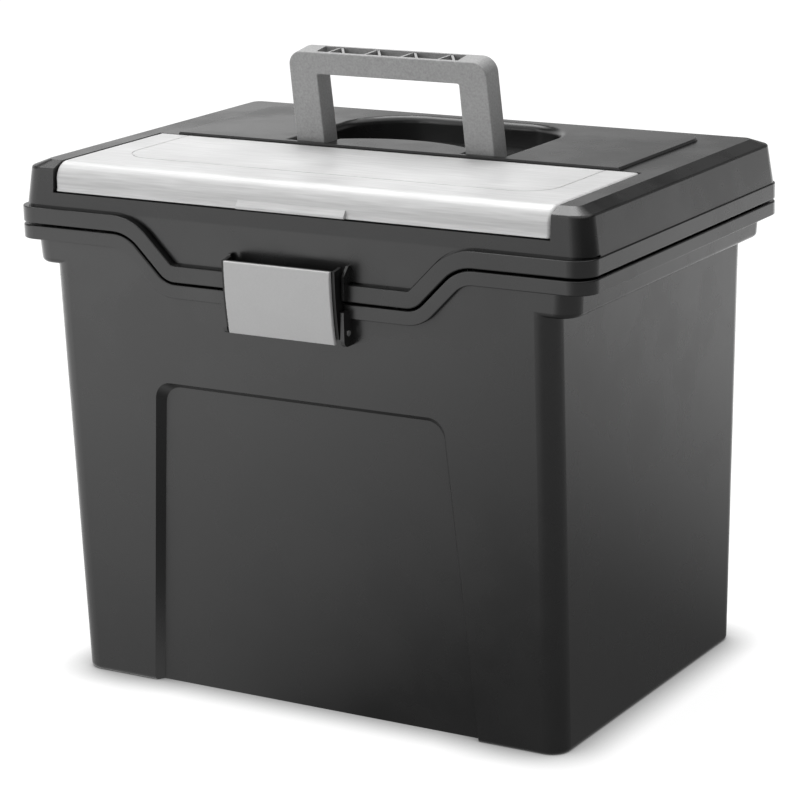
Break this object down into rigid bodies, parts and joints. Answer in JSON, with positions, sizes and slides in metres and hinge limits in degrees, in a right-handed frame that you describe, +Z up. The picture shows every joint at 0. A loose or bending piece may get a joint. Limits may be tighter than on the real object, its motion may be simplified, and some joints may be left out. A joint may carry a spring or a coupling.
{
  "type": "portable file box",
  "caption": "Tapered plastic file box with hanging-folder rails, hinged organizer lid, fold-down carrying handle and a front latch.",
  "frame": {"origin": "centre of the base, on the surface the box stands on", "axes": "+X across the width to the viewer's right, +Y from the latch to the hinge, +Z up"},
  "size_m": [0.3508, 0.2551, 0.3454],
  "materials": {
    "black_pp": "satin moulded",
    "lid_pp": "satin moulded",
    "silver_pp": "silver moulded",
    "handle_pp": "fine grained moulded",
    "lever_pp": "satin moulded",
    "plate_pp": "satin moulded",
    "pin_steel": "plated"
  },
  "bodies": {
    "tub": {"bin_shell": "black_pp", "latch_pin": "pin_steel", "hinge_pin_left": "pin_steel", "hinge_pin_right": "pin_steel"},
    "lid": {"lid_shell": "lid_pp", "handle_pin_left": "pin_steel", "handle_pin_right": "pin_steel"},
    "cover": {"organizer_cover": "silver_pp", "cover_pin_left": "pin_steel", "cover_pin_right": "pin_steel"},
    "handle_grip": {"handle": "handle_pp"},
    "latch": {"latch_lever": "lever_pp", "latch_plate": "plate_pp"}
  },
  "joints": [
    {"name": "lid_hinge", "type": "hinge", "parent": "tub", "child": "lid", "pos_m": [0, 0.1229, 0.252], "axis": [-1, 0, 0], "range_deg": [0, 105]},
    {"name": "cover_hinge", "type": "hinge", "parent": "lid", "child": "cover", "pos_m": [0, -0.0164, 0.2876], "axis": [-1, 0, 0], "range_deg": [0, 80]},
    {"name": "handle_pivot", "type": "hinge", "parent": "lid", "child": "handle_grip", "pos_m": [0, 0.0018, 0.2864], "axis": [-1, 0, 0], "range_deg": [0, 98.8]},
    {"name": "latch_pivot", "type": "hinge", "parent": "tub", "child": "latch", "pos_m": [0, -0.1186, 0.2172], "axis": [1, 0, 0], "range_deg": [0, 70]}
  ]
}
